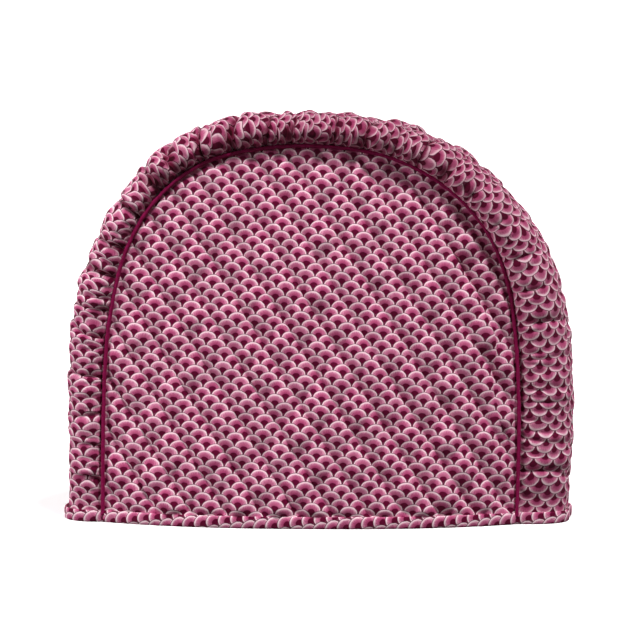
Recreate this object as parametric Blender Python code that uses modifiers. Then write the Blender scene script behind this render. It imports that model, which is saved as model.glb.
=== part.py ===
# A tea cosy, standing open on its hem.
# Two quilted D-shaped panels, joined over the arch by a gathered gusset strip, with a covered
# piping cord in each arch seam and a bias binding folded round the whole hem.
# Metres, +Z up. The front faces -Y. The origin is the middle of the hem, on the table.

import math

import bmesh
import bpy
from mathutils import Vector

MM = 0.001

# The arch, a row for each station along the front seam, from the left hem to the right hem, in mm.
# x and z place the piping. reach is how far the gusset's middle line stands outside it, and swell
# is how far the gathers puff out beside the seam.
ARCH_COLUMNS = ("x", "z", "reach", "swell")
ARCH = {
    "left hem": (-142.8, 1.3, 24.5, 2.0),
    "left side": (-142.4, 55.0, 25.0, 4.0),
    "left flank": (-141.2, 100.0, 26.0, 4.5),
    "left haunch": (-137.0, 140.0, 26.5, 5.0),
    "left upper": (-127.0, 179.0, 23.5, 5.5),
    "left shoulder": (-107.0, 213.0, 21.5, 6.5),
    "left brow": (-76.0, 236.5, 23.5, 7.0),
    "crown left": (-37.0, 246.3, 22.0, 7.5),
    "crown": (3.0, 247.5, 20.5, 8.0),
    "crown right": (42.0, 241.5, 21.5, 8.0),
    "right brow": (78.0, 224.0, 23.0, 8.0),
    "right shoulder": (106.0, 196.0, 24.5, 8.0),
    "right upper": (122.0, 160.0, 31.5, 7.0),
    "right haunch": (128.0, 121.0, 35.5, 6.0),
    "right flank": (130.5, 81.0, 36.5, 5.5),
    "right side": (130.7, 40.0, 36.0, 5.0),
    "right hem": (130.0, 1.3, 34.5, 2.0),
}

# The main creases of the gathers: where each crosses the seam, in mm along the arch from the left
# hem, how deep it is, and how far over the gusset it runs, 1 being the middle line.
CREASE_COLUMNS = ("at", "deep", "run")
CREASES = [
    (26, 2.4, 0.7), (47, 2.8, 0.8), (67, 2.2, 0.6), (95, 3.2, 0.9), (122, 2.8, 0.8),
    (136, 2.2, 0.6), (160, 3.0, 0.9), (177, 2.6, 0.7), (201, 3.4, 0.8), (222, 2.8, 0.9),
    (238, 2.4, 0.7), (258, 3.2, 0.9), (278, 3.6, 1.0), (301, 3.4, 1.0), (318, 3.0, 0.9),
    (342, 2.6, 0.7), (363, 3.2, 0.9), (382, 2.6, 0.8), (400, 3.2, 0.9), (418, 2.8, 0.7),
    (437, 2.4, 0.8), (462, 3.2, 0.9), (482, 2.6, 0.7), (500, 2.8, 0.8), (522, 3.2, 0.9),
    (547, 2.6, 0.7), (582, 2.2, 0.6), (601, 2.8, 0.8), (622, 3.4, 0.9), (638, 2.4, 0.6),
]

QUILT_THICK = 5.0 * MM  # cotton, wadding and cotton, between the seams
SEAM_THICK = 3.0 * MM  # the same, pressed flat where it is sewn
GUSSET_THICK = 2.4 * MM  # gathered cotton
SEAM_DEPTH = 24.0 * MM  # from the middle plane to the cloth's middle at each arch seam
BACK_SHIFT = Vector((10.0 * MM, 0.0, 0.0))  # the cosy leans askew: the back seam stands to the right
PANEL_BOW = 24.0 * MM  # how far the middle of the hem stands in front of its ends
BOW_POWER = 2.5

PANEL_RINGS = (1.0, 0.955, 0.8, 0.55, 0.27)  # shares of the way out from the panel's centre
PANEL_CENTRE = (-6.0 * MM, 118.0 * MM)
ARCH_STATIONS = 38  # along the panel's edge
HEM_STATIONS = 20

PIPING_RADIUS = 1.7 * MM
PIPING_POINTS = 54
PIPING_SEAT = 4.0 * MM  # the piping's middle, in front of the middle of the cloth it is sewn to

CREASE_WIDTH = 4.6 * MM
CREASE_SLIP = 7.0 * MM  # how far a crease drifts along the arch on its way to the middle line
CREASE_START = 0.1  # a crease has its full depth from here, as a share of the way to the middle
CREASE_FADE = 0.6  # and dies away over this share
STATION_STEP = 6.8 * MM
SWELL_PEAK = 0.22  # the gathers puff out most here, as a share of the way to the middle line
HALF_LINES = (-1.0, -0.87, -0.7, -0.5, -0.25)  # across the gusset, from the front seam inwards
GUSSET_LINES = (*HALF_LINES, 0.0, *(-across for across in reversed(HALF_LINES)))

GAP = 0.3 * MM
BINDING_THICK = 1.0 * MM
BINDING_HIGH = 8.0 * MM
BINDING_ROUND = 0.6 * MM
BINDING_EASE = 0.8 * MM  # between the binding and the cloth inside it
HEM_FLAT = 26.0 * MM  # the gathers are pressed flat this near the hem
PANEL_EDGE = 0.8 * MM  # each cloth stops this far from the seam's line
GUSSET_EDGE = 0.9 * MM
CLOTH_BOTTOM = BINDING_THICK + GAP
FRONT = -1
BACK = 1


def clear_scene():
    for obj in list(bpy.data.objects):
        bpy.data.objects.remove(obj, do_unlink=True)


def new_collection(name):
    collection = bpy.data.collections.new(name)
    bpy.context.scene.collection.children.link(collection)
    return collection


def cloth_material(name, colour, roughness):
    material = bpy.data.materials.new(name)
    material.use_nodes = True
    shader = material.node_tree.nodes["Principled BSDF"]
    shader.inputs["Base Color"].default_value = (*colour, 1.0)
    shader.inputs["Roughness"].default_value = roughness
    shader.inputs["Metallic"].default_value = 0.0
    return material


def smooth_step(value):
    value = min(max(value, 0.0), 1.0)
    return value * value * (3.0 - 2.0 * value)


def catmull_rom(before, start, end, after, share):
    return 0.5 * (
        2.0 * start
        + (end - before) * share
        + (2.0 * before - 5.0 * start + 4.0 * end - after) * share**2
        + (3.0 * start - before - 3.0 * end + after) * share**3
    )


class Arch:
    """The seam's curve over the arch, read by length."""

    FINE = 24

    def __init__(self, rows):
        self.rows = [tuple(value * MM for value in row) for row in rows]
        steps = self.FINE * (len(rows) - 1)
        self.fine = [self.at_row(step / self.FINE) for step in range(steps + 1)]
        self.lengths = [0.0]
        for first, second in zip(self.fine, self.fine[1:]):
            self.lengths.append(self.lengths[-1] + math.dist(first[:2], second[:2]))
        self.total = self.lengths[-1]

    def at_row(self, place):
        row = min(int(place), len(self.rows) - 2)
        last = len(self.rows) - 1
        around = [self.rows[min(max(row + shift, 0), last)] for shift in (-1, 0, 1, 2)]
        return tuple(catmull_rom(*column, place - row) for column in zip(*around))

    def at(self, share):
        """The five columns at a share of the arch's length, 0 at the left hem and 1 at the right."""
        target = min(max(share, 0.0), 1.0) * self.total
        low = 0
        high = len(self.lengths) - 1
        while high - low > 1:
            middle = (low + high) // 2
            low, high = (middle, high) if self.lengths[middle] <= target else (low, middle)
        part = (target - self.lengths[low]) / (self.lengths[high] - self.lengths[low])
        pairs = zip(self.fine[low], self.fine[high])
        return dict(zip(ARCH_COLUMNS, (a + (b - a) * part for a, b in pairs)))

    def outward(self, share):
        """The direction away from the panel, in its plane. It is level near the hem."""
        step = 0.004
        before = self.at(share - step)
        after = self.at(share + step)
        level = smooth_step((self.at(share)["z"] - BINDING_HIGH) / HEM_FLAT)
        along_x = after["x"] - before["x"]
        along_z = after["z"] - before["z"]
        return Vector((-along_z, 0.0, along_x * level)).normalized()


arch = Arch(list(ARCH.values()))


def cloth_depth(x, z):
    """How far the middle of the quilted cloth stands from the middle plane, on the front."""
    left = arch.rows[0][0]
    right = arch.rows[-1][0]
    top = max(row[1] for row in arch.rows)
    across = min(max(2.0 * (x - left) / (right - left) - 1.0, -1.0), 1.0)
    return SEAM_DEPTH + PANEL_BOW * (1.0 - abs(across) ** BOW_POWER) * (1.0 - (z / top) ** 2)


def cloth_point(x, z, side, forward=0.0):
    """The front's x and z, on the front's or the back's quilted cloth."""
    point = Vector((x, side * (cloth_depth(x, z) + forward), z))
    return point + BACK_SHIFT if side == BACK else point


def seam_point(share, side):
    """The middle of the piping at a share of the arch."""
    row = arch.at(share)
    return cloth_point(row["x"], row["z"], side, PIPING_SEAT)


def panel_outline():
    """The panel's edge in x and z: up the left seam, over the arch, down, and back along the hem."""
    outline = []
    for station in range(ARCH_STATIONS + 1):
        row = arch.at(station / ARCH_STATIONS)
        edge = Vector((row["x"], 0.0, row["z"])) - arch.outward(station / ARCH_STATIONS) * PANEL_EDGE
        outline.append((edge.x, edge.z))
    (left, bottom), (right, _) = outline[0], outline[-1]
    for station in range(1, HEM_STATIONS):
        share = 0.5 + 0.5 * math.cos(math.pi * station / HEM_STATIONS)
        outline.append((left + (right - left) * share, bottom))
    return outline


def crease_depth(share, to_middle, side):
    """How far the gathers dip at one place of the gusset. to_middle is 0 at the seam, 1 at the middle."""
    place = share * arch.total
    slip = CREASE_SLIP * to_middle if side == FRONT else CREASE_SLIP * (2.0 - to_middle)
    dip = 0.0
    for row in CREASES:
        crease = dict(zip(CREASE_COLUMNS, row))
        off = (place - crease["at"] * MM - slip) / CREASE_WIDTH
        ending = smooth_step((crease["run"] + CREASE_FADE / 2.0 - to_middle) / CREASE_FADE)
        fade = smooth_step(to_middle / CREASE_START) * ending
        dip += crease["deep"] * MM * math.exp(-off * off) * fade
    return dip


def gusset_point(share, across):
    """The middle of the gusset's cloth. across is -1 at the front seam, 0 midway and 1 at the back."""
    side = FRONT if across <= 0.0 else BACK
    to_middle = 1.0 - abs(across)
    row = arch.at(share)
    out = arch.outward(share)
    turn = to_middle * math.pi / 2.0
    loose = smooth_step((row["z"] - BINDING_HIGH) / HEM_FLAT)
    swell = row["swell"] * to_middle / SWELL_PEAK * math.exp(1.0 - to_middle / SWELL_PEAK)
    puff = loose * (swell - crease_depth(share, to_middle, side))
    seam = cloth_point(row["x"], row["z"], side)
    middle = Vector((row["x"], 0.0, row["z"])) + out * row["reach"]
    point = (seam + out * GUSSET_EDGE).lerp(middle, math.sin(turn))
    point.y = seam.y * math.cos(turn)
    return point + out * puff * math.sin(turn) + Vector((0.0, side * puff * math.cos(turn), 0.0))


def object_from(name, bm, material, collection):
    bmesh.ops.recalc_face_normals(bm, faces=bm.faces)
    mesh = bpy.data.meshes.new(name)
    bm.to_mesh(mesh)
    bm.free()
    mesh.materials.append(material)
    obj = bpy.data.objects.new(name, mesh)
    collection.objects.link(obj)
    return obj


def bridge(bm, rings):
    """Faces between closed rings of as many corners."""
    for ring, following in zip(rings, rings[1:]):
        for corner in range(len(ring)):
            beside = (corner + 1) % len(ring)
            bm.faces.new((ring[corner], ring[beside], following[beside], following[corner]))


def thicken(obj, thickness):
    solidify = obj.modifiers.new("Thickness", "SOLIDIFY")
    solidify.thickness = thickness
    solidify.offset = 0.0
    return solidify


def panel(name, side, material, collection):
    """Rings from the panel's edge in to its centre, laid on the bowed cloth."""
    outline = panel_outline()
    centre_x, centre_z = PANEL_CENTRE
    bm = bmesh.new()
    rings = []
    for share in PANEL_RINGS:
        ring = []
        for x, z in outline:
            x = centre_x + (x - centre_x) * share
            z = centre_z + (z - centre_z) * share
            ring.append(bm.verts.new(cloth_point(x, z, side)))
        rings.append(ring)
    bridge(bm, rings)
    centre = bm.verts.new(cloth_point(centre_x, centre_z, side))
    for first, second in zip(rings[-1], rings[-1][1:] + rings[-1][:1]):
        bm.faces.new((first, second, centre))
    obj = object_from(name, bm, material, collection)
    solidify = thicken(obj, QUILT_THICK)
    full = obj.vertex_groups.new(name="full_thickness")
    full.add(range(len(obj.data.vertices)), 1.0, "REPLACE")
    sewn = [v.index for v in obj.data.vertices if v.index < len(outline) or v.co.z < BINDING_HIGH]
    full.add(sewn, SEAM_THICK / QUILT_THICK, "REPLACE")
    solidify.vertex_group = full.name
    return obj


def gusset(name, material, collection):
    """A grid of stations along the arch by lines across the strip."""
    columns = round(arch.total / STATION_STEP)
    rows = len(GUSSET_LINES) - 1
    bm = bmesh.new()
    bmesh.ops.create_grid(bm, x_segments=columns, y_segments=rows, size=0.5)
    for vert in bm.verts:
        column = round((vert.co.x + 0.5) * columns)
        row = round((vert.co.y + 0.5) * rows)
        vert.co = gusset_point(column / columns, GUSSET_LINES[row])
    obj = object_from(name, bm, material, collection)
    thicken(obj, GUSSET_THICK)
    return obj


def piping(name, side, material, collection):
    start = next(s / 1000 for s in range(1000) if arch.at(s / 1000)["z"] > BINDING_HIGH + GAP)
    curve = bpy.data.curves.new(name, "CURVE")
    curve.dimensions = "3D"
    curve.bevel_depth = PIPING_RADIUS
    curve.bevel_resolution = 2
    curve.use_fill_caps = True
    spline = curve.splines.new("POLY")
    spline.points.add(PIPING_POINTS - 1)
    for index, point in enumerate(spline.points):
        share = start + (1.0 - 2.0 * start) * index / (PIPING_POINTS - 1)
        point.co = (*seam_point(share, side), 1.0)
    curve.materials.append(material)
    obj = bpy.data.objects.new(name, curve)
    collection.objects.link(obj)
    return obj


def hem_line():
    """The middle of the cloth round the hem, anticlockwise from above, starting at the front left."""
    low = sorted(x for x, z in panel_outline() if z < CLOTH_BOTTOM + 0.1 * MM)
    front = [cloth_point(x, CLOTH_BOTTOM, FRONT).xy for x in low]
    right = [gusset_point(1.0, across).xy for across in GUSSET_LINES[1:-1]]
    back = [cloth_point(x, CLOTH_BOTTOM, BACK).xy for x in reversed(low)]
    left = [gusset_point(0.0, across).xy for across in reversed(GUSSET_LINES[1:-1])]
    return [Vector((*point, 0.0)) for point in front + right + back + left]


def hem_binding(name, material, collection):
    inner = SEAM_THICK / 2.0 + BINDING_EASE
    outer = inner + BINDING_THICK
    section = [
        (outer - BINDING_ROUND, 0.0), (outer, BINDING_ROUND), (outer, BINDING_HIGH - BINDING_ROUND),
        (outer - BINDING_ROUND, BINDING_HIGH), (inner, BINDING_HIGH), (inner, BINDING_THICK),
    ]
    section += [(-out, up) for out, up in reversed(section)]
    line = hem_line()
    bm = bmesh.new()
    rings = []
    for index, point in enumerate(line):
        before = (point - line[index - 1]).normalized()
        after = (line[(index + 1) % len(line)] - point).normalized()
        along = (before + after).normalized()
        out = Vector((along.y, -along.x, 0.0)) / max(along.dot(before), 0.7)
        ring = [bm.verts.new(point + out * wide + Vector((0.0, 0.0, up))) for wide, up in section]
        rings.append(ring)
    bridge(bm, rings + rings[:1])
    return object_from(name, bm, material, collection)


def main():
    clear_scene()
    cosy = new_collection("tea_cosy")
    print_cotton = cloth_material("print_cotton", (0.55, 0.18, 0.30), 0.85)
    gathered_cotton = cloth_material("gathered_cotton", (0.52, 0.16, 0.28), 0.85)
    piping_cotton = cloth_material("piping_cotton", (0.16, 0.01, 0.06), 0.8)
    binding_cotton = cloth_material("binding_cotton", (0.58, 0.20, 0.33), 0.85)
    panel("front_panel", FRONT, print_cotton, cosy)
    panel("back_panel", BACK, print_cotton, cosy)
    gusset("gusset", gathered_cotton, cosy)
    piping("front_piping", FRONT, piping_cotton, cosy)
    piping("back_piping", BACK, piping_cotton, cosy)
    hem_binding("hem_binding", binding_cotton, cosy)


main()
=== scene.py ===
# Looks of a quilted tea cosy standing open on its hem: two quilted panels in a fish-scale print, a
# gathered gusset of the same print, a covered piping cord in each arch seam and a bias-bound hem.
# Metres, +Z up, the front faces -Y, as the frame has it.
import math

import bmesh
import bpy
import numpy as np
from mathutils import Matrix, Vector


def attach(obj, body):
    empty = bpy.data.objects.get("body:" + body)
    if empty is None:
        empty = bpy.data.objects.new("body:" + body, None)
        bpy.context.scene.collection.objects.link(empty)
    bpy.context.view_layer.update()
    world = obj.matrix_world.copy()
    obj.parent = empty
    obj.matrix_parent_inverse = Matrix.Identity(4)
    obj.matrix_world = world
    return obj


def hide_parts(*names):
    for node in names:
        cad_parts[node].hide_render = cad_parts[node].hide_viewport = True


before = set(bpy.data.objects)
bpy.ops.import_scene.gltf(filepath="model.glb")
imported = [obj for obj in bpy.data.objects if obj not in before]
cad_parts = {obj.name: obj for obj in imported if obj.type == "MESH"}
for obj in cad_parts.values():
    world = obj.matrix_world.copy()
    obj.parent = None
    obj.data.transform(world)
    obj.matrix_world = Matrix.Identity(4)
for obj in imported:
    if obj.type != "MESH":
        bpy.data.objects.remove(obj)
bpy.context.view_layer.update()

mm = 0.001
front = -1
back = 1

# The cosy's form is the same as the solids'.

# The arch seam, from the left hem over the top to the right hem, in mm: x and z of the piping, how
# far the gusset's middle line stands outside it, how far the gathers puff out beside it.
archRows = {
    "left hem": (-142.8, 1.3, 24.5, 2.0),
    "left side": (-142.4, 55.0, 25.0, 4.0),
    "left flank": (-141.2, 100.0, 26.0, 4.5),
    "left haunch": (-137.0, 140.0, 26.5, 5.0),
    "left upper": (-127.0, 179.0, 23.5, 5.5),
    "left shoulder": (-107.0, 213.0, 21.5, 6.5),
    "left brow": (-76.0, 236.5, 23.5, 7.0),
    "crown left": (-37.0, 246.3, 22.0, 7.5),
    "crown": (3.0, 247.5, 20.5, 8.0),
    "crown right": (42.0, 241.5, 21.5, 8.0),
    "right brow": (78.0, 224.0, 23.0, 8.0),
    "right shoulder": (106.0, 196.0, 24.5, 8.0),
    "right upper": (122.0, 160.0, 31.5, 7.0),
    "right haunch": (128.0, 121.0, 35.5, 6.0),
    "right flank": (130.5, 81.0, 36.5, 5.5),
    "right side": (130.7, 40.0, 36.0, 5.0),
    "right hem": (130.0, 1.3, 34.5, 2.0),
}

# The main creases of the gathers: where they are along the arch and how deep, in mm, and how far they
# run, where 1 is the gusset's middle line.
creaseRows = [
    (26, 2.4, 0.7), (47, 2.8, 0.8), (67, 2.2, 0.6), (95, 3.2, 0.9), (122, 2.8, 0.8),
    (136, 2.2, 0.6), (160, 3.0, 0.9), (177, 2.6, 0.7), (201, 3.4, 0.8), (222, 2.8, 0.9),
    (238, 2.4, 0.7), (258, 3.2, 0.9), (278, 3.6, 1.0), (301, 3.4, 1.0), (318, 3.0, 0.9),
    (342, 2.6, 0.7), (363, 3.2, 0.9), (382, 2.6, 0.8), (400, 3.2, 0.9), (418, 2.8, 0.7),
    (437, 2.4, 0.8), (462, 3.2, 0.9), (482, 2.6, 0.7), (500, 2.8, 0.8), (522, 3.2, 0.9),
    (547, 2.6, 0.7), (582, 2.2, 0.6), (601, 2.8, 0.8), (622, 3.4, 0.9), (638, 2.4, 0.6),
]

cosy = {
    "seamDepth": 24 * mm,  # from the middle plane to each arch seam
    "backShift": 10 * mm,  # the back stands this far to the right
    "bow": 24 * mm,  # how far the middle of the hem stands in front of its ends
    "bowPower": 2.5,
    "hemHigh": 8 * mm,
    "hemFlat": 26 * mm,  # the gathers are pressed flat this near the hem
    "clothBottom": 1.3 * mm,
}


def smoothStep(value):
    value = np.clip(value, 0, 1)
    return value * value * (3 - 2 * value)


def smoothCurve(rows, fine=24):
    rows = np.array(rows, float)
    last = len(rows) - 1
    places = np.linspace(0, last, fine * last + 1)
    start = np.minimum(places.astype(int), last - 1)
    share = (places - start)[:, None]
    before, first, second, after = (rows[np.clip(start + shift, 0, last)] for shift in (-1, 0, 1, 2))
    bend = 2 * before - 5 * first + 4 * second - after
    twist = 3 * first - before - 3 * second + after
    return 0.5 * (2 * first + (second - before) * share + bend * share**2 + twist * share**3)


def lengthsAlong(points):
    steps = np.linalg.norm(np.diff(points, axis=0), axis=1)
    return np.concatenate([[0], np.cumsum(steps)])


archCurve = smoothCurve(list(archRows.values())) * mm
archLengths = lengthsAlong(archCurve[:, :2])
archTotal = archLengths[-1]
leftHem = archCurve[0, 0]
rightHem = archCurve[-1, 0]
archTop = max(row[1] for row in archRows.values()) * mm


def archAt(place):
    # x, z, reach and swell at a length along the arch
    return [np.interp(place, archLengths, column) for column in archCurve.T]


def archOut(place):
    # the direction away from the panel, level near the hem
    step = 0.004 * archTotal
    beforeX, beforeZ = archAt(place - step)[:2]
    afterX, afterZ = archAt(place + step)[:2]
    level = smoothStep((archAt(place)[1] - cosy["hemHigh"]) / cosy["hemFlat"])
    outX = beforeZ - afterZ
    outZ = (afterX - beforeX) * level
    size = np.hypot(outX, outZ)
    return outX / size, outZ / size


def clothDepth(x, z):
    across = np.clip(2 * (x - leftHem) / (rightHem - leftHem) - 1, -1, 1)
    bow = (1 - np.abs(across) ** cosy["bowPower"]) * (1 - (z / archTop) ** 2)
    return cosy["seamDepth"] + cosy["bow"] * bow


def clothPoint(x, z, side, forward=0.0):
    shift = cosy["backShift"] if side == back else 0.0
    return np.stack(np.broadcast_arrays(x + shift, side * (clothDepth(x, z) + forward), z), axis=-1)


def ripples(u, v, seed, lengthU, lengthV, waves=16):
    # irregular waviness of about -1 to 1, from sine waves of seeded directions
    dice = np.random.default_rng(seed)
    total = 0.0
    for _ in range(waves):
        turnsU = dice.normal() / lengthU
        turnsV = dice.normal() / lengthV
        total = total + np.sin(2 * np.pi * (turnsU * u + turnsV * v + dice.uniform()))
    return total / math.sqrt(waves)


def ink(red, green, blue):
    # a colour given as it looks on screen
    def linear(value):
        value /= 255
        return value / 12.92 if value <= 0.04045 else ((value + 0.055) / 1.055) ** 2.4

    return (linear(red), linear(green), linear(blue), 1.0)


class Dye:
    # wraps one socket of a material, so that masks and heights are written as sums

    def __init__(self, tree, socket):
        self.tree = tree
        self.socket = socket

    def node(self, kind, settings, inputs, output=0):
        made = self.tree.nodes.new(kind)
        for name, value in settings.items():
            if name == "stops":
                stops = made.color_ramp.elements
                while len(stops) < len(value):
                    stops.new(1.0)
                for stop, (place, colour) in zip(stops, value):
                    stop.position = place
                    stop.color = colour
            else:
                setattr(made, name, value)
        for name, value in inputs.items():
            if isinstance(value, Dye):
                self.tree.links.new(value.socket, made.inputs[name])
            else:
                made.inputs[name].default_value = value
        return Dye(self.tree, made.outputs[output])

    def sum(self, operation, *values):
        return self.node("ShaderNodeMath", {"operation": operation}, dict(enumerate(values)))

    def __add__(self, other):
        return self.sum("ADD", self, other)

    def __sub__(self, other):
        return self.sum("SUBTRACT", self, other)

    def __rsub__(self, other):
        return self.sum("SUBTRACT", other, self)

    def __mul__(self, other):
        return self.sum("MULTIPLY", self, other)

    def __truediv__(self, other):
        return self.sum("DIVIDE", self, other)

    def __lt__(self, other):
        return self.sum("LESS_THAN", self, other)

    def ceil(self):
        return self.sum("CEIL", self)

    def floor(self):
        return self.sum("FLOOR", self)

    def rest(self):
        # what is left above the whole number
        return self.sum("FRACT", self)

    def away(self):
        # the distance from nought
        return self.sum("ABSOLUTE", self)

    def root(self):
        return self.sum("SQRT", self)

    def sine(self):
        return self.sum("SINE", self)

    def over(self, low, high):
        # 0 below low, 1 above high, smooth between
        return self.node(
            "ShaderNodeMapRange",
            {"interpolation_type": "SMOOTHSTEP"},
            {"Value": self, "From Min": low, "From Max": high},
        )

    def noise(self, dimensions, scale, detail):
        return self.node(
            "ShaderNodeTexNoise",
            {"noise_dimensions": dimensions},
            {"Vector": self, "Scale": scale, "Detail": detail},
        )

    def choose(self, other, mask):
        # this value, and the other where the mask is 1
        return self * (1 - mask) + other * mask

    def tint(self, other, mask, blend="MIX"):
        # colours, in inputs 6 and 7: this one, and the other over it by the mask
        return self.node(
            "ShaderNodeMix",
            {"data_type": "RGBA", "blend_type": blend},
            {"Factor": mask, 6: self, 7: other},
            2,
        )


clothFinish = {
    "specular": 0.06,
    "sheenRoughness": 0.5,
    "thread": 0.42 * mm,
    "threadHigh": 0.05 * mm,
    "weaveStrength": 0.35,
}


def startMaterial(name, roughness, sheen):
    material = bpy.data.materials.new(name)
    material.use_nodes = True
    tree = material.node_tree
    shader = tree.nodes["Principled BSDF"]
    shader.inputs["Roughness"].default_value = roughness
    shader.inputs["Specular IOR Level"].default_value = clothFinish["specular"]
    shader.inputs["Sheen Weight"].default_value = sheen
    shader.inputs["Sheen Roughness"].default_value = clothFinish["sheenRoughness"]
    print("dyeing", name)
    return material, tree, shader


def printPlace(tree):
    # across and along the print, in repeats, from the piece's own map
    begin = Dye(tree, None)
    place = begin.node("ShaderNodeUVMap", {"uv_map": "print"}, {})
    across = begin.node("ShaderNodeSeparateXYZ", {}, {0: place}, "X")
    along = Dye(tree, across.socket.node.outputs["Y"])
    return place, across, along


def weaveHeight(across, along, repeat):
    # plain weave: threads go over and under by turns
    turns = 2 * math.pi * repeat / clothFinish["thread"] / 2
    return (across * turns).sine() * (along * turns).sine() * 0.5 + 0.5


def addWeave(tree, shader, height):
    bump = height.node(
        "ShaderNodeBump",
        {},
        {"Strength": clothFinish["weaveStrength"], "Distance": clothFinish["threadHigh"], "Height": height},
    )
    tree.links.new(bump.socket, shader.inputs["Normal"])


scalePrint = {
    "repeat": 12.6 * mm,  # from one scale to the next in a row, on the flat cloth
    "flat": 1.25,  # how much lower than round a dome is
    "narrow": 1.03,  # how much narrower than a whole repeat
    "rowStep": 0.383,  # from row to row, in repeats
    "rowLot": 7.31,  # each scale gets its own number from its row and column
    "columnLot": 3.17,
    "rings": [  # from a scale's middle, in repeats
        (0.00, ink(160, 50, 98)),
        (0.16, ink(184, 76, 120)),
        (0.26, ink(204, 104, 144)),
        (0.32, ink(222, 136, 170)),
        (0.37, ink(248, 198, 214)),
        (0.41, ink(255, 224, 232)),
        (0.450, ink(255, 222, 230)),
        (0.466, ink(200, 144, 164)),
        (0.479, ink(104, 48, 70)),
        (0.50, ink(78, 10, 44)),
    ],
    "body": (0.33, 0.4),  # where the pink body ends, again from a scale's middle
    "streakInk": ink(166, 58, 106),
    "streaks": (26, 6, 2.0),  # how fine they are across and along a scale, and their detail
    "streakFrom": (0.4, 0.66),
    "streakStrong": 0.6,
    "paleInk": ink(245, 190, 212),  # some scales are a little paler than others
    "paleStrong": 0.3,
    "discDown": 0.10,  # the dark disc stands below the rings' middle
    "discSize": (0.14, 0.205),
    "discWide": 0.87,
    "fanDown": (0.0, 0.1),  # below it the dark runs down to the next scales
    "fanWide": (0.13, 0.27),
    "fanStrong": 0.9,
    "shade": ink(94, 0, 43),
    "ends": ink(206, 106, 146),  # the pale band thins towards a scale's ends
    "endsHigh": (0.06, 0.32),
    "bandInner": (0.33, 0.37),
    "bandOuter": (0.40, 0.43),
    "endsStrong": 0.75,
    "tucked": (0.24, 0.05, 0.11, 1.0),  # painted shade: what is left of a colour deep in a fold
    "wander": 0.018,  # how far the drawn lines wander
    "wanderNoise": (7.0, 3.0),
    "roughness": 0.82,
    "sheen": 0.01,
}


def fishScales(across, along):
    # the scale that shows at each point: lower rows lie over upper ones, and domes point along
    step = scalePrint["rowStep"]
    lowest = ((along - 0.5 / scalePrint["flat"]) / step).ceil()
    offX = offY = which = None
    for ahead in (2, 1, 0):
        row = lowest + ahead
        halfDrop = (row * 0.5).rest()
        column = across - halfDrop + 0.5
        x = (column.rest() - 0.5) * scalePrint["narrow"]
        y = (along - row * step) * scalePrint["flat"]
        seed = row * scalePrint["rowLot"] + column.floor() * scalePrint["columnLot"]
        if offX is None:
            offX, offY, which = x, y, seed
            continue
        covers = (x * x + y * y) < 0.25
        offX = offX.choose(x, covers)
        offY = offY.choose(y, covers)
        which = which.choose(seed, covers)
    return offX, offY, which


def printedCotton(name, paintFoldShade=False):
    look = scalePrint
    material, tree, shader = startMaterial(name, look["roughness"], look["sheen"])
    place, across, along = printPlace(tree)
    wander = (place.noise("2D", *look["wanderNoise"]) - 0.5) * look["wander"] * 2
    offX, offY, which = fishScales(across + wander, along + wander)
    distance = (offX * offX + offY * offY).root()
    rings = distance.node("ShaderNodeValToRGB", {"stops": look["rings"]}, {"Fac": distance})

    lot = which.node("ShaderNodeTexWhiteNoise", {"noise_dimensions": "1D"}, {"W": which})
    fineAcross, fineAlong, detail = look["streaks"]
    onScale = {"X": offX * fineAcross, "Y": offY * fineAlong, "Z": which}
    streak = which.node("ShaderNodeCombineXYZ", {}, onScale).noise("3D", 1.0, detail)
    body = 1 - distance.over(*look["body"])
    colour = rings.tint(look["streakInk"], streak.over(*look["streakFrom"]) * body * look["streakStrong"])
    colour = colour.tint(look["paleInk"], (lot - 0.5) * look["paleStrong"] * body)

    down = offY + look["discDown"]
    sideways = offX * look["discWide"]
    disc = (sideways * sideways + down * down).root().over(*look["discSize"])
    fan = (0 - down).over(*look["fanDown"]) * (1 - offX.away().over(*look["fanWide"]))
    band = distance.over(*look["bandInner"]) * (1 - distance.over(*look["bandOuter"]))
    ends = (1 - offY.over(*look["endsHigh"])) * band
    colour = colour.tint(look["ends"], ends * look["endsStrong"])
    colour = colour.tint(look["shade"], 1 - disc)
    colour = colour.tint(look["shade"], fan * look["fanStrong"])
    # painted shade: the gusset's colour is multiplied darker where its folds would shade it
    if paintFoldShade:
        paintedShadeMask = place.node("ShaderNodeAttribute", {"attribute_name": "tucked"}, {}, "Fac")
        colour = colour.tint(look["tucked"], paintedShadeMask, "MULTIPLY")
    tree.links.new(colour.socket, shader.inputs["Base Color"])
    addWeave(tree, shader, weaveHeight(across, along, look["repeat"]))
    return material


plainDye = {
    "roughness": 0.85,
    "mottle": (2.5, 5.0),
    "mottleFrom": (0.3, 0.7),
    "paintedThreadHighlight": 0.35,  # painted highlight: how much lighter the raised threads are painted
}

backingCloth = {
    "dark": ink(96, 16, 48),
    "light": ink(116, 26, 62),
    "repeat": 12.6 * mm,
    "sheen": 0.05,
}


def plainCotton(name, cloth):
    # one-colour cotton: two close shades mottled, with its weave and a painted highlight on the raised
    # threads
    material, tree, shader = startMaterial(name, plainDye["roughness"], cloth["sheen"])
    place, across, along = printPlace(tree)
    mottle = place.noise("2D", *plainDye["mottle"]).over(*plainDye["mottleFrom"])
    height = weaveHeight(across, along, cloth["repeat"])
    shades = {"Factor": mottle, 6: cloth["dark"], 7: cloth["light"]}
    base = place.node("ShaderNodeMix", {"data_type": "RGBA"}, shades, 2)
    colour = base.tint(cloth["light"], height * plainDye["paintedThreadHighlight"])
    tree.links.new(colour.socket, shader.inputs["Base Color"])
    addWeave(tree, shader, height)
    return material


def gridPositions(mesh, columns, rows):
    flat = np.empty(len(mesh.vertices) * 3, np.float32)
    mesh.vertices.foreach_get("co", flat)
    flat = flat.reshape(-1, 3)
    column = np.rint((flat[:, 0] + 0.5) * columns).astype(int)
    row = np.rint((flat[:, 1] + 0.5) * rows).astype(int)
    return column, row


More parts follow.
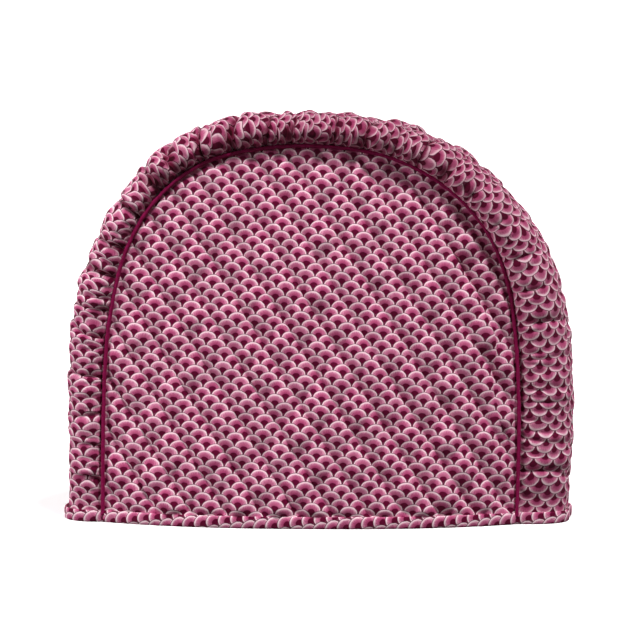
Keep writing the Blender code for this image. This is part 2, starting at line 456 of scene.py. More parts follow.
def setPrint(mesh, prints):
    # prints holds a place on the cloth for each point, and each corner takes its point's
    corners = np.empty(len(mesh.loops), np.int32)
    mesh.loops.foreach_get("vertex_index", corners)
    layer = mesh.uv_layers.new(name="print")
    layer.uv.foreach_set("vector", prints[corners].astype(np.float32).ravel())


def clothGrid(name, places, prints, tucked=None):
    # a sheet of cloth from a grid: places and prints have a row of points for each column
    columns = places.shape[0] - 1
    rows = places.shape[1] - 1
    bm = bmesh.new()
    bmesh.ops.create_grid(bm, x_segments=columns, y_segments=rows, size=0.5)
    mesh = bpy.data.meshes.new(name)
    bm.to_mesh(mesh)
    bm.free()
    column, row = gridPositions(mesh, columns, rows)
    mesh.vertices.foreach_set("co", places[column, row].astype(np.float32).ravel())
    setPrint(mesh, prints[column, row])
    # painted shade for the material, stored at each point
    if tucked is not None:
        layer = mesh.attributes.new("tucked", "FLOAT", "POINT")
        layer.data.foreach_set("value", tucked[column, row].astype(np.float32))
    mesh.update()
    return mesh


def closeSeams(mesh, fillEnds=False):
    # the grid's two ends meet: their points are merged, and open ends are filled
    bm = bmesh.new()
    bm.from_mesh(mesh)
    bmesh.ops.remove_doubles(bm, verts=bm.verts, dist=0.01 * mm)
    if fillEnds:
        bmesh.ops.holes_fill(bm, edges=[edge for edge in bm.edges if edge.is_boundary], sides=0)
    bmesh.ops.recalc_face_normals(bm, faces=bm.faces)
    bm.to_mesh(mesh)
    bm.free()


def newPiece(name, mesh, materials, nodes):
    for material in materials:
        mesh.materials.append(material)
    mesh.polygons.foreach_set("use_smooth", [True] * len(mesh.polygons))
    piece = bpy.data.objects.new(name, mesh)
    bpy.context.scene.collection.objects.link(piece)
    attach(piece, "root")
    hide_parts(*nodes)
    print("made", name, len(mesh.polygons), "faces")
    return piece


def thicken(piece, thickness, group=None):
    # the second material goes on the inside and on the edges
    solidify = piece.modifiers.new("Thickness", "SOLIDIFY")
    solidify.thickness = thickness
    solidify.offset = 0.0
    solidify.material_offset = 1
    solidify.material_offset_rim = 1
    if group:
        solidify.vertex_group = group


quilt = {
    "acrossA": (0.8485, 0.529),  # square to the first family of stitch lines, in x and z
    "acrossB": (0.819, -0.573),
    "stepA": 19.5 * mm,
    "stepB": 20.1 * mm,
    "throughA": (-30.7 * mm, 145.8 * mm),  # a point on a line of each family
    "throughB": (-13.2 * mm, 150.2 * mm),
    "cuts": 14,  # grid steps between stitch lines
    "crowd": 0.5,  # how much closer the steps are beside a line
    "thick": 11.0 * mm,
    "stitched": 1.5 * mm,
    "edge": 4.6 * mm,
    "edgeFade": 6 * mm,
    "edgePoints": 60,
    "seamGap": 0.35 * mm,  # from the piping's line to the cloth's edge
    "roundness": 1.8,
    "second": 0.34,  # how deep the second lines are beside the first
    "line": 0.06,  # how wide a line of stitches is, in diamonds
    "takeUp": 0.8 * mm,  # how much cloth each line of stitches swallows
    "secondTakeUp": 0.6,
    "unevenPuff": (0.14, 0.03),  # by how much, and how far from one swell to the next
    "puffSeed": 5,
    "slack": (0.8 * mm, 0.07, 0.09),  # how deep it is, and how far it is between swells, across and up
    "slackSeed": 21,
    "paddingLevels": 100,
    "spare": 4 * mm,  # the grid is trimmed roughly this far outside the outline first
    "cut": (0.296, 0.263),  # round the bow, and before the quilting drew the cloth in
    "cutArea": 0.069,
}

# The long wrinkle beside the right piping, in mm: how high, and how far across.
wrinkleRows = [
    (44, 127), (56, 122), (69, 116), (85, 112.7), (99, 112), (112, 113),
    (121, 113.7), (129, 111), (150, 102), (172, 90), (181, 84), (193, 78),
]

wrinkle = {
    "deep": 2.6 * mm,
    "steepSide": 2.6 * mm,
    "slowSide": 8 * mm,
    "low": 52 * mm,
    "high": 182 * mm,
    "fade": 16 * mm,
}

printOnPanel = {
    "repeat": 11.86 * mm,  # as drawn in by the quilting
    "slope": math.radians(4.85),  # rows fall to the right
    "scaleAt": (-25.6 * mm, 119.2 * mm),  # the middle of one scale
}


def stitchPhases(x, z):
    # how many diamonds over, in each family: a whole number is on a stitch line
    phases = []
    for family in ("A", "B"):
        acrossX, acrossZ = quilt["across" + family]
        throughX, throughZ = quilt["through" + family]
        phases.append(((x - throughX) * acrossX + (z - throughZ) * acrossZ) / quilt["step" + family])
    return phases


def fromPhases(a, b):
    (ax, az), (bx, bz) = quilt["acrossA"], quilt["acrossB"]
    reachA = a * quilt["stepA"] + np.dot(quilt["throughA"], (ax, az))
    reachB = b * quilt["stepB"] + np.dot(quilt["throughB"], (bx, bz))
    turn = ax * bz - az * bx
    return (reachA * bz - reachB * az) / turn, (ax * reachB - bx * reachA) / turn


def crowdSteps(phase):
    return phase - quilt["crowd"] * np.sin(2 * np.pi * phase) / (2 * np.pi)


def panelEdge():
    # the cloth's outline: over the arch just inside the piping, closed along the hem
    places = np.linspace(0, archTotal, quilt["edgePoints"])
    x, z = archAt(places)[:2]
    outX, outZ = archOut(places)
    return np.stack([x - outX * quilt["seamGap"], z - outZ * quilt["seamGap"]], axis=-1)


def distanceInside(x, z, outline):
    # how far a point lies inside the arch
    nearest = np.full(len(x), 1.0)
    for first, second in zip(outline, outline[1:]):
        along = (second - first) / np.linalg.norm(second - first)
        nearest = np.minimum(nearest, (x - first[0]) * along[1] - (z - first[1]) * along[0])
    return nearest


def trimmedGrid(outline):
    # a grid whose lines run along the stitches, cut to the panel's outline
    low, high = outline.min(axis=0), outline.max(axis=0)
    corners = [stitchPhases(x, z) for x in (low[0], high[0]) for z in (low[1], high[1])]
    firstA, firstB = np.floor(np.min(corners, axis=0)).astype(int)
    lastA, lastB = np.ceil(np.max(corners, axis=0)).astype(int)
    bm = bmesh.new()
    columns = (lastA - firstA) * quilt["cuts"]
    rows = (lastB - firstB) * quilt["cuts"]
    bmesh.ops.create_grid(bm, x_segments=columns, y_segments=rows, size=0.5)
    places = np.array([vert.co[:2] for vert in bm.verts])
    a = crowdSteps(firstA + np.rint((places[:, 0] + 0.5) * columns) / quilt["cuts"])
    b = crowdSteps(firstB + np.rint((places[:, 1] + 0.5) * rows) / quilt["cuts"])
    x, z = fromPhases(a, b)
    inside = np.minimum(distanceInside(x, z, outline), z - low[1])
    for vert, placeX, placeZ in zip(bm.verts, x, z):
        vert.co = (placeX, 0.0, placeZ)
    spare = [vert for vert, depth in zip(bm.verts, inside) if depth < -quilt["spare"]]
    bmesh.ops.delete(bm, geom=spare, context="VERTS")
    closed = [*outline, outline[0]]
    for first, second in zip(closed, closed[1:]):
        along = second - first
        bmesh.ops.bisect_plane(
            bm,
            geom=[*bm.verts, *bm.edges, *bm.faces],
            dist=0.02 * mm,
            plane_co=(first[0], 0.0, first[1]),
            plane_no=(-along[1], 0.0, along[0]),
            clear_outer=True,
        )
    return bm


def pillow(a, b):
    # 0 on the first stitch lines and 1 between them, and drawn in less by the second ones
    offA = np.abs(a - np.rint(a))
    offB = np.abs(b - np.rint(b))
    return (1 - (1 - 2 * offA) ** quilt["roundness"]) * (1 - quilt["second"] * (1 - 2 * offB) ** 2)


def takenUp(phase):
    # the print jumps on by one at each line of stitches, and drifts back between them
    part = phase - np.floor(phase)
    line = quilt["line"]
    between = 0.5 - (part - line / 2) / (1 - line)
    on = np.where(part < line / 2, part, part - 1) / line
    return np.where((part < line / 2) | (part > 1 - line / 2), on, between)


def panelPrint(x, z):
    a, b = stitchPhases(x, z)
    shiftA = takenUp(a) * quilt["takeUp"]
    shiftB = takenUp(b) * quilt["takeUp"] * quilt["secondTakeUp"]
    x = x + quilt["acrossA"][0] * shiftA + quilt["acrossB"][0] * shiftB - printOnPanel["scaleAt"][0]
    z = z + quilt["acrossA"][1] * shiftA + quilt["acrossB"][1] * shiftB - printOnPanel["scaleAt"][1]
    cos, sin = math.cos(printOnPanel["slope"]), math.sin(printOnPanel["slope"])
    return np.stack([x * cos - z * sin, x * sin + z * cos], axis=-1) / printOnPanel["repeat"]


def wrinkleDip(x, z):
    heights, across = np.array(wrinkleRows, float).T * mm
    off = x - np.interp(z, heights, across)
    wall = np.where(off < 0, -off / wrinkle["steepSide"], off / wrinkle["slowSide"])
    low = smoothStep((z - wrinkle["low"]) / wrinkle["fade"] + 0.5)
    high = smoothStep((wrinkle["high"] - z) / wrinkle["fade"] + 0.5)
    return wrinkle["deep"] * np.exp(-wall) * low * high


def quiltedPanel(name, side, materials, node):
    outline = panelEdge()
    bm = trimmedGrid(outline)
    x, _, z = np.array([vert.co[:] for vert in bm.verts]).T
    a, b = stitchPhases(x, z)
    edge = distanceInside(x, z, outline)
    uneven, swell = quilt["unevenPuff"]
    swells = ripples(x, z, quilt["puffSeed"] + side, swell, swell)
    puff = np.minimum(pillow(a, b) * (1 - uneven + uneven * swells), 1)
    full = smoothStep(edge / quilt["edgeFade"]) * smoothStep(z / quilt["edgeFade"] - 1)
    thick = quilt["stitched"] + (quilt["thick"] - quilt["stitched"]) * puff * full
    thick = np.maximum(thick, quilt["edge"] * (1 - full))
    slackDeep, slackWide, slackHigh = quilt["slack"]
    slack = ripples(x, z, quilt["slackSeed"] + side, slackWide, slackHigh) * slackDeep * full
    if side == front:
        slack = slack - wrinkleDip(x, z) * full
    places = clothPoint(x, z, side, slack)
    for vert, place in zip(bm.verts, places):
        vert.co = place
    if side == front:
        bmesh.ops.reverse_faces(bm, faces=bm.faces)
    mesh = bpy.data.meshes.new(name)
    bm.to_mesh(mesh)
    bm.free()
    flip = 1 if side == front else -1
    setPrint(mesh, panelPrint(x * flip, z))
    panel = newPiece(name, mesh, materials, [node])
    group = panel.vertex_groups.new(name="padding")
    levels = quilt["paddingLevels"]
    for level in range(levels + 1):
        chosen = np.nonzero(np.rint(levels * thick / quilt["thick"]) == level)[0]
        if len(chosen):
            group.add(chosen.tolist(), level / levels, "REPLACE")
    thicken(panel, quilt["thick"], group.name)
    return panel


gathers = {
    "columns": 740,
    "halfRows": 28,
    "swellPeak": 0.22,  # where the puff beside the seam is highest, on the way to the middle line
    "swellFall": 1.5,
    "overhang": 2.2 * mm,  # how far the puffed edge leans in over the piping
    "overhangAt": 0.11,
    "fine": 0.8,  # how much of the fine folds' depth the shape shows
    "drawn": 1.8 * mm,  # the middle line lies this much nearer
    "square": 0.7,  # under 1 the gusset's section turns squarer than an ellipse
    "seamGap": 0.4 * mm,
    "thick": 0.9 * mm,
    "mainWide": 2.0 * mm,
    "mainDeeper": 1.5,
    "mainTuck": 0.9,  # cloth swallowed by a fold, for its depth
    "mainOver": 0.4,  # how much further than its row says a main fold runs while it fades
    "mainFade": 0.6,
    "valley": 1.3,  # 2 is a round valley, 1 a sharp one
    "tuckWide": 0.35,
    "firstStep": 0.6,
    "wideSpread": (0.8, 1.3),
    "stepSpread": (0.65, 1.35),
    "foldsFrom": 0.05,  # how far in from the seam the folds have their full depth
    "billowFrom": 0.3,
    "billow": 1.5 * mm,
    "small": 0.25 * mm,
    "bend": 2.0 * mm,
    "skew": 2.0 * mm,
    "skewWave": 0.03,
    "skewSeeds": (61, 62),
    "lean": 0.4,
    "slip": 7 * mm,  # how far a main fold has slid along the arch by the middle line
    "calm": 22 * mm,
    "dark": 4.5 * mm,  # the fold depth at which the painted shade in a main fold is full; fineDark is the same for the fine folds
    "fineDark": 2.2 * mm,
    "seamShade": (0.45, 0.2),  # the share of a fold's painted shade that shows at the seam, and how far in
    "calmWidths": 16 * mm,
    "uneven": 0.4,  # how much of the print's crowding goes to the folds
}

# How much more than the solid the cloth puffs out beside the seam, along the arch.
puffAlong = [(0.0, 1.15), (0.3, 1.3), (0.42, 1.8), (0.55, 2.0), (0.78, 2.0), (0.9, 1.4), (1.0, 1.1)]

# Where it leans in over the piping.
leanAlong = [(0.0, 0.0), (0.52, 0.0), (0.6, 0.7), (0.7, 1.0), (0.82, 0.4), (0.9, 0.0), (1.0, 0.0)]

# How full the gathers are along the arch: the cut length for each length of seam.
fullAlong = [(0.0, 1.1), (0.1, 1.15), (0.22, 1.5), (0.5, 1.6), (0.62, 1.42), (0.74, 1.12), (1.0, 1.0)]

# How the gathers wander: a seed, half the strip's width, and the length of a wave along and across.
gatherWaves = {
    "bend": (7, 0.05, 0.035, 0.05),
    "billow": (11, 0.04, 0.026, 0.06),
    "small": (13, 0.04, 0.014, 0.03),
    "lean": (17, 0.04, 0.05, 0.06),
}

middleGathers = {
    "step": 9.5 * mm,
    "deep": (1.0 * mm, 2.8 * mm),
    "wide": 1.6 * mm,
    "run": (0.45, 1.25),
    "fade": 0.4,
    "lean": 7 * mm,
    "tuck": 0.9,
    "seed": 60,
}

fineGathers = {
    "step": 3.5 * mm,
    "deep": (0.7 * mm, 2.0 * mm),
    "wide": 1.1 * mm,
    "run": (0.08, 0.36),
    "fade": 0.12,
    "lean": 4 * mm,
    "tuck": 0.4,
    "seed": 40,
}

# Painted shade along the arch: how much darker the gusset's colour is painted, standing in for the shade of
# the finest gathers, too small for the mesh.
paintedShadeAlong = [(0.0, 0.0), (0.22, 0.0), (0.36, 0.2), (0.5, 0.46), (0.62, 0.46), (0.75, 0.24), (1.0, 0.12)]

# How crumpled the gusset is along the arch: the left and the top most, the right side least.
crumpleAlong = [
    (0.0, 0.36), (0.12, 0.42), (0.25, 0.62), (0.4, 0.95), (0.5, 1.0), (0.6, 0.8), (0.72, 0.35), (1.0, 0.35),
]


def alongArch(place, rows):
    # a value read off a table that runs from 0 at the left hem to 1 at the right hem
    return np.interp(place / archTotal, *zip(*rows))


def waving(name, place, across):
    seed, halfWide, long, wide = gatherWaves[name]
    return ripples(place, across * halfWide, seed, long, wide)


def hump(share):
    # rises from 0 to 1 where the share is 1, and falls off slowly
    return share * np.exp(1 - share)


def valley(off, wide):
    return np.exp(-np.abs(off / wide) ** gathers["valley"])


def tuck(off, wide):
    # how much of a fold's cloth is passed: it goes from 0 to 1 across the valley
    return 0.5 + 0.5 * np.tanh(off / (gathers["tuckWide"] * wide))


def mainFolds(place, toMiddle, side):
    # how deep the main folds are, and how much cloth they have swallowed so far
    slip = gathers["slip"] * (toMiddle if side == front else 2 - toMiddle)
    dip = swallowed = 0.0
    for at, deep, run in creaseRows:
        off = place - at * mm - slip
        size = deep * mm * smoothStep((run + gathers["mainOver"] - toMiddle) / gathers["mainFade"])
        dip = dip + size * gathers["mainDeeper"] * valley(off, gathers["mainWide"])
        swallowed = swallowed + size * gathers["mainTuck"] * tuck(off, gathers["mainWide"])
    return dip, swallowed


def seededFolds(place, toMiddle, kind, side):
    # more folds of one kind, from the seam out, at uneven steps
    dice = np.random.default_rng(kind["seed"] + side)
    dip = swallowed = 0.0
    at = kind["step"] * gathers["firstStep"]
    while at < archTotal:
        deep = dice.uniform(*kind["deep"])
        run = dice.uniform(*kind["run"])
        lean = dice.normal(0.0, kind["lean"])
        wide = kind["wide"] * dice.uniform(*gathers["wideSpread"])
        off = place - at - lean * toMiddle
        size = deep * smoothStep((run - toMiddle) / kind["fade"] + 0.5)
        dip = dip + size * valley(off, wide)
        swallowed = swallowed + size * kind["tuck"] * tuck(off, wide)
        at += kind["step"] * dice.uniform(*gathers["stepSpread"])
    return dip, swallowed


def allFolds(place, toMiddle, side):
    across = side * (1 - toMiddle)
    bent = place + gathers["bend"] * waving("bend", place, across)
    mainDip, mainSwallowed = mainFolds(bent, toMiddle, side)
    middleDip, middleSwallowed = seededFolds(bent, toMiddle, middleGathers, side)
    fineDip, fineSwallowed = seededFolds(bent, toMiddle, fineGathers, side)
    swallowed = mainSwallowed + middleSwallowed + fineSwallowed
    return bent, across, mainDip + middleDip, fineDip, swallowed


def foldHeight(place, toMiddle, side):
    bent, across, dips, fineDips, _ = allFolds(place, toMiddle, side)
    billow = waving("billow", bent, across) * gathers["billow"]
    small = waving("small", bent, across) * gathers["small"]
    start = smoothStep(toMiddle / gathers["foldsFrom"])
    middle = smoothStep(toMiddle / gathers["billowFrom"])
    drawn = gathers["drawn"] * smoothStep(toMiddle * 2 - 1)
    crumpled = alongArch(place, crumpleAlong) * ((billow + small) * middle - dips * start)
    return crumpled - gathers["fine"] * fineDips * start - drawn


def gussetHalf(place, toMiddle, side):
    # from a seam to the middle line: a squarish quarter turn, puffed out and folded
    x, z, reach, swell = archAt(place)
    outX, outZ = archOut(place)
    square = gathers["square"]
    first = toMiddle ** (1 / square)
    second = (1 - toMiddle) ** (1 / square)
    turn = first / (first + second) * np.pi / 2
    sideways = np.sin(turn) ** square
    forward = np.cos(turn) ** square
    loose = smoothStep((z - cosy["hemHigh"]) / cosy["hemFlat"])
    folds = foldHeight(place, toMiddle, side)
    rise = hump(toMiddle / gathers["swellPeak"]) ** gathers["swellFall"]
    puff = loose * (alongArch(place, puffAlong) * swell * rise + folds)
    overhang = gathers["overhang"] * alongArch(place, leanAlong) * hump(toMiddle / gathers["overhangAt"]) ** 2
    away = gathers["seamGap"] + (reach - gathers["seamGap"]) * sideways + puff * np.sin(turn) - overhang
    depth = clothPoint(x, z, side)[..., 1] * forward + side * puff * np.cos(turn)
    shift = cosy["backShift"] * forward if side == back else 0.0
    lean = gathers["lean"] * waving("lean", place, side * (1 - toMiddle)) * folds * loose
    return np.stack([x + shift + outX * away + outZ * lean, depth, z + outZ * away - outX * lean], axis=-1)


def lowPass(values, wide):
    # a running average down the columns, keeping the ends
    reach = int(3 * wide)
    kernel = np.exp(-0.5 * (np.arange(-reach, reach + 1) / wide) ** 2)
    kernel /= kernel.sum()
    padded = np.concatenate([
        2 * values[:1] - values[reach:0:-1],
        values,
        2 * values[-1:] - values[-2 : -reach - 2 : -1],
    ])
    return np.stack([np.convolve(column, kernel, "valid") for column in padded.T], axis=-1)


def gussetGrid():
    half = np.linspace(0, 1, gathers["halfRows"] + 1)
    return np.linspace(0, archTotal, gathers["columns"] + 1)[:, None], half


def joinHalves(frontHalf, backHalf):
    # both hold the middle line, which is kept once
    return np.concatenate([frontHalf, backHalf[:, 1:]], axis=1)


def paintedShadeShare():
    # painted shade for the gusset, from 0 to 1: how deep in folds each point is, raised to at least the
    # painted shade along the arch
    place, half = gussetGrid()
    least, farIn = gathers["seamShade"]
    halves = []
    for side, shares in ((front, half[None, :]), (back, half[None, ::-1])):
        _, _, dips, fineDips, _ = allFolds(place, shares, side)
        deep = alongArch(place, crumpleAlong) * (dips / gathers["dark"] + fineDips / gathers["fineDark"])
        halves.append((least + (1 - least) * smoothStep(shares / farIn)) * smoothStep(deep))
    return np.maximum(joinHalves(*halves), alongArch(place, paintedShadeAlong))


def gussetPlaces():
    place, half = gussetGrid()
    return joinHalves(gussetHalf(place, half[None, :], front), gussetHalf(place, half[None, ::-1], back))


def gussetPrint(places):
    # the print follows the cloth: along by the length over the folds, across from the middle line
    place, half = gussetGrid()
    crumple = alongArch(place, crumpleAlong)
    columnStep = archTotal / gathers["columns"]
    steps = np.linalg.norm(np.diff(places, axis=0), axis=-1)
    along = np.concatenate([np.zeros((1, places.shape[1])), np.cumsum(steps, axis=0)])
    frontFolds = allFolds(place, half[None, :], front)
    backFolds = allFolds(place, half[None, ::-1], back)
    swallowed = joinHalves(frontFolds[-1], backFolds[-1])
    slack = along + swallowed * crumple - place
    full = alongArch(place[:, 0], fullAlong)
    base = np.concatenate([[0], np.cumsum((full[1:] + full[:-1]) / 2)]) * columnStep
    cut = base[:, None] + gathers["uneven"] * (slack - lowPass(slack, gathers["calm"] / columnStep))
    calm = lowPass(places.reshape(len(places), -1), gathers["calmWidths"] / columnStep)
    widths = np.linalg.norm(np.diff(calm.reshape(places.shape), axis=1), axis=-1)
    across = np.concatenate([np.zeros((len(places), 1)), np.cumsum(widths, axis=1)], axis=1)
    middle = gathers["halfRows"]
    across = across - across[:, middle : middle + 1]
    skew, wave = gathers["skew"] * crumple, gathers["skewWave"]
    strayAlong, strayAcross = (skew * ripples(cut, across, seed, wave, wave) for seed in gathers["skewSeeds"])
    return np.stack([across + strayAcross, cut + strayAlong], axis=-1) / scalePrint["repeat"]


def gatheredGusset(materials):
    places = gussetPlaces()
    prints = gussetPrint(places)
    mesh = clothGrid("gathered_gusset", places, prints, paintedShadeShare())
    gusset = newPiece("gathered_gusset", mesh, materials, ["gusset"])
    thicken(gusset, gathers["thick"])
    width = np.ptp(prints[..., 0], axis=1).mean() * scalePrint["repeat"]
    length = np.ptp(prints[..., 1], axis=0).mean() * scalePrint["repeat"]
    print("gusset cut", round(width, 4), "by", round(length, 4))
    return gusset, width, length


cord = {
    "radius": 1.25 * mm,
    "seat": 3.6 * mm,
    "step": 1.2 * mm,
    "sides": 16,
    "pucker": 0.12,
    "puckerWave": (0.006, 0.003),
    "puckerRound": (0.002, 0.001),
    "seed": 31,
    "endHigh": 0.6,  # how far up the binding each end is
    "dark": ink(122, 4, 58),
    "light": ink(142, 18, 78),
    "repeat": 4 * mm,
    "sheen": 0.01,
}


def archPiping(name, side, material, node):
    nearHem = slice(8)  # the first points of the arch, where it only rises
    start = np.interp(cosy["hemHigh"] * cord["endHigh"], archCurve[nearHem, 1], archLengths[nearHem])
    places = np.linspace(start, archTotal - start, round(archTotal / cord["step"]))
    x, z = archAt(places)[:2]
    line = clothPoint(x, z, side, cord["seat"])
    ahead = np.gradient(line, axis=0)
    ahead /= np.linalg.norm(ahead, axis=1)[:, None]
    outX, outZ = archOut(places)
    out = np.stack([outX, 0 * outX, outZ], axis=-1)
    up = np.cross(ahead, out)
    up /= np.linalg.norm(up, axis=1)[:, None]
    out = np.cross(up, ahead)
    angles = np.linspace(0, 2 * np.pi, cord["sides"] + 1)
    ring = np.stack([np.cos(angles), np.sin(angles)], axis=-1)
    ring[-1] = ring[0]
    along = np.broadcast_to(places[:, None], (len(places), len(angles)))
    turned = np.broadcast_to(angles[None, :], along.shape)
    wide, high = cord["puckerRound"]
    beside = np.cos(turned) * wide + np.sin(turned) * high
    puckers = ripples(along, beside, cord["seed"] + side, *cord["puckerWave"])
    puckers[:, -1] = puckers[:, 0]
    radius = cord["radius"] * (1 + cord["pucker"] * puckers)
    offsets = out[:, None, :] * ring[None, :, :1] + up[:, None, :] * ring[None, :, 1:]
    surface = line[:, None, :] + offsets * radius[..., None]
    around = turned * cord["radius"]
    prints = np.stack([along + around, along - around], axis=-1) * math.sqrt(0.5) / cord["repeat"]
    mesh = clothGrid(name, surface, prints)
    closeSeams(mesh, fillEnds=True)
    return newPiece(name, mesh, [material], [node])


binding = {
    "high": 8 * mm,
    "inner": 2.3 * mm,  # from the middle of the cloth to the binding's inner face
    "thick": 1.0 * mm,
    "plump": 0.5 * mm,
    "plumpPower": 0.7,  # under 1 its faces are flatter than an arc
    "ridge": 0.4,  # where the upper edge is highest, over its thickness
    "turnIn": 0.5,  # where the underside and the cloth side have their last points
    "setIn": 0.25 * mm,  # the walls' ends stand this far inside the fold
    "corner": 0.45 * mm,
    "corners": 1.0 * mm,  # how much of the height is not wall
    "wallShares": [0.0, 0.12, 0.3, 0.5, 0.7, 0.88, 1.0],
    "flatUnder": 0.8 * mm,  # how far inside the fold the flat underside begins
    "wobble": (0.05, 0.012, 0.02),
    "seed": 51,
    "endGap": 1.2 * mm,
    "frontPoints": 160,
    "endPoints": 60,
    "calming": 6,  # how often the line round the hem is smoothed
    "columns": 620,
    "bias": math.radians(-46),
}


def hemLine():
    # the middle of the cloth round the hem, anticlockwise from above, from the front left
    x = np.linspace(leftHem + binding["endGap"], rightHem - binding["endGap"], binding["frontPoints"])
    bottom = np.full_like(x, cosy["clothBottom"])
    half = np.linspace(0, 1, binding["endPoints"])[None, 1:-1]
    ends = []
    for place, sides in ((archTotal, (front, back)), (0.0, (back, front))):
        ends.append(gussetHalf(np.array([[place]]), half, sides[0])[0])
        ends.append(gussetHalf(np.array([[place]]), half[:, ::-1], sides[1])[0])
    frontLine = clothPoint(x, bottom, front)
    backLine = clothPoint(x[::-1], bottom, back)
    line = np.concatenate([frontLine, *ends[:2], backLine, *ends[2:]])[:, :2]
    closed = np.concatenate([line, line[:1]])
    lengths = lengthsAlong(closed)
    places = np.linspace(0, lengths[-1], binding["columns"] + 1)
    even = np.stack([np.interp(places, lengths, closed[:, axis]) for axis in (0, 1)], axis=-1)[:-1]
    for _ in range(binding["calming"]):
        even = (even + np.roll(even, 1, axis=0) + np.roll(even, -1, axis=0)) / 3
    return even, lengths[-1]


def bindingSection():
    # out from the cloth's middle and up: down the outer face, under the hem, up the inner face and
    # back along the cloth side, with how far over the cut strip each point is
    inner, thick, high = binding["inner"], binding["thick"], binding["high"]
    outer = inner + thick
    heights = np.array(binding["wallShares"])[::-1]
    bulge = binding["plump"] * np.sin(np.pi * heights) ** binding["plumpPower"]
    corner = binding["corner"]
    wall = []
    for height, plump in zip(heights, bulge):
        wall.append((outer - binding["setIn"] + plump, corner + (high - binding["corners"]) * height))
    top = [(inner, high - corner), (inner + thick * binding["ridge"], high)]
    bottom = [(outer - binding["flatUnder"], 0.0), (inner * binding["turnIn"], 0.0)]
    half = top + wall + bottom
    cloth = [(inner, thick), (inner, high * binding["turnIn"])]
    loop = half + [(-out, up) for out, up in reversed(half)]
    loop += [(-out, up) for out, up in reversed(cloth)] + cloth
    section = np.array(loop)
    section = np.concatenate([section, section[:1]])
    return section, lengthsAlong(section)


def hemBinding(material):
    line, around = hemLine()
    ahead = np.roll(line, -1, axis=0) - np.roll(line, 1, axis=0)
    ahead /= np.linalg.norm(ahead, axis=1)[:, None]
    out = np.stack([ahead[:, 1], -ahead[:, 0]], axis=-1)
    section, over = bindingSection()
    places = np.arange(len(line) + 1) * around / len(line)
    index = np.arange(len(line) + 1) % len(line)
    uneven, long, high = binding["wobble"]
    wobble = 1 + uneven * ripples(places[:, None], section[None, :, 1], binding["seed"], long, high)
    wobble[-1] = wobble[0]
    outerFace = np.abs(section[None, :, 0]) > binding["inner"] + 0.1 * mm
    wide = section[None, :, 0] * np.where(outerFace, wobble, 1)
    surface = np.empty((len(line) + 1, len(section), 3))
    surface[..., :2] = line[index][:, None, :] + out[index][:, None, :] * wide[..., None]
    surface[..., 2] = section[None, :, 1]
    turn = binding["bias"]
    along = np.broadcast_to(places[:, None], surface.shape[:2])
    up = np.broadcast_to(-over[None, :], surface.shape[:2])
    prints = np.stack([
        along * math.cos(turn) - up * math.sin(turn),
        along * math.sin(turn) + up * math.cos(turn),
    ], axis=-1) / scalePrint["repeat"]
    mesh = clothGrid("bound_hem", surface, prints)
    closeSeams(mesh)
    return newPiece("bound_hem", mesh, [material], ["hem_binding"]), around


studio = {
    "target": (-0.0003, 0.0, 0.1325),
    "distance": 1.4,
    "elevation": math.radians(4),
    "roll": math.radians(0.33),
    "lens": 117.9,
    "film": 36.0,
    "fill": 0.08,
    "fillInk": (1.0, 0.94, 0.90, 1.0),
    "room": 8.0,
    "wallAt": 5.0,
    "wallSides": 96,
    "paleInk": (0.93, 0.93, 0.93, 1.0),
    "paleRoughness": 0.9,
    "floorGlow": 0.4,
    "wallGlow": 0.9,
}

# Where each lamp shines from, how soft it is in degrees, and its power.
lamps = {
    "key": ((0.27, -0.40, 0.86), 9, 3.15),
    "left fill": ((-0.88, -0.38, 0.28), 40, 1.45),
    "left side": ((-0.99, 0.0, 0.12), 25, 0.85),
    "right side": ((0.99, 0.0, 0.12), 25, 0.3),
    "back light": ((-0.42, 0.87, 0.24), 12, 2.3),
}


def placeCamera():
    target = Vector(studio["target"])
    toCamera = Vector((0.0, -math.cos(studio["elevation"]), math.sin(studio["elevation"])))
    camera = bpy.data.objects.new("camera", bpy.data.cameras.new("camera"))
    camera.data.lens = studio["lens"]
    camera.data.sensor_width = studio["film"]
    turn = (-toCamera).to_track_quat("-Z", "Y").to_matrix() @ Matrix.Rotation(studio["roll"], 3, "Z")
    camera.matrix_world = Matrix.Translation(target + toCamera * studio["distance"]) @ turn.to_4x4()
    bpy.context.scene.collection.objects.link(camera)
    bpy.context.scene.camera = camera
    print("camera placed")


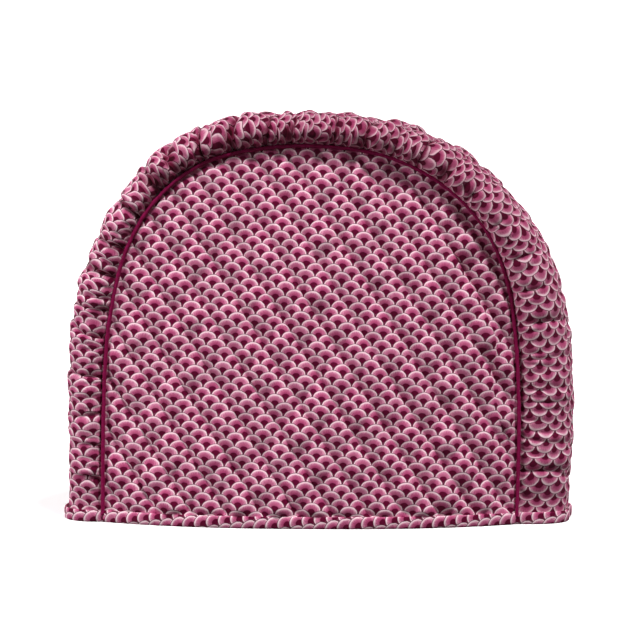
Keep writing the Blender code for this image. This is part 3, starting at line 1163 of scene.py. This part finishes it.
def paleStage(name, mesh, glow):
    # it stays pale without lighting the cosy or keeping light from it
    material = bpy.data.materials.new(name)
    material.use_nodes = True
    shader = material.node_tree.nodes["Principled BSDF"]
    shader.inputs["Base Color"].default_value = studio["paleInk"]
    shader.inputs["Roughness"].default_value = studio["paleRoughness"]
    shader.inputs["Emission Color"].default_value = (1.0, 1.0, 1.0, 1.0)
    shader.inputs["Emission Strength"].default_value = glow
    mesh.materials.append(material)
    sheet = bpy.data.objects.new(name, mesh)
    bpy.context.scene.collection.objects.link(sheet)
    sheet.visible_diffuse = False
    sheet.visible_shadow = False


def buildStage():
    # a wide floor and a round wall
    bm = bmesh.new()
    bmesh.ops.create_grid(bm, x_segments=1, y_segments=1, size=studio["room"])
    floor = bpy.data.meshes.new("floor")
    bm.to_mesh(floor)
    bm.free()
    bm = bmesh.new()
    bmesh.ops.create_cone(
        bm,
        segments=studio["wallSides"],
        radius1=studio["wallAt"],
        radius2=studio["wallAt"],
        depth=2 * studio["room"],
    )
    wall = bpy.data.meshes.new("wall")
    bm.to_mesh(wall)
    bm.free()
    paleStage("floor", floor, studio["floorGlow"])
    paleStage("wall", wall, studio["wallGlow"])
    print("floor and wall laid")


def lightStudio():
    world = bpy.data.worlds.new("studio")
    world.use_nodes = True
    world.node_tree.nodes["Background"].inputs["Color"].default_value = studio["fillInk"]
    world.node_tree.nodes["Background"].inputs["Strength"].default_value = studio["fill"]
    bpy.context.scene.world = world
    for name, (direction, soft, power) in lamps.items():
        lamp = bpy.data.lights.new(name, "SUN")
        lamp.energy = power
        lamp.angle = math.radians(soft)
        holder = bpy.data.objects.new(name, lamp)
        holder.matrix_world = Vector(direction).to_track_quat("Z", "Y").to_matrix().to_4x4()
        bpy.context.scene.collection.objects.link(holder)
    bpy.context.scene.view_settings.view_transform = "Standard"
    print("studio lit by", len(lamps), "lamps")


def main():
    printed = printedCotton("fish_scale_cotton")
    backing = plainCotton("backing_cotton", backingCloth)
    pipingCotton = plainCotton("piping_cotton", cord)
    boundHem, around = hemBinding(printed)
    frontPanel = quiltedPanel("quilted_front", front, [printed, backing], "front_panel")
    backPanel = quiltedPanel("quilted_back", back, [printed, backing], "back_panel")
    # the gusset's cotton has painted shade in its folds
    gusset, width, length = gatheredGusset([printedCotton("gathered_cotton", paintFoldShade=True), backing])
    archPiping("piping_front", front, pipingCotton, "front_piping")
    archPiping("piping_back", back, pipingCotton, "back_piping")
    buildStage()
    placeCamera()
    lightStudio()


main()
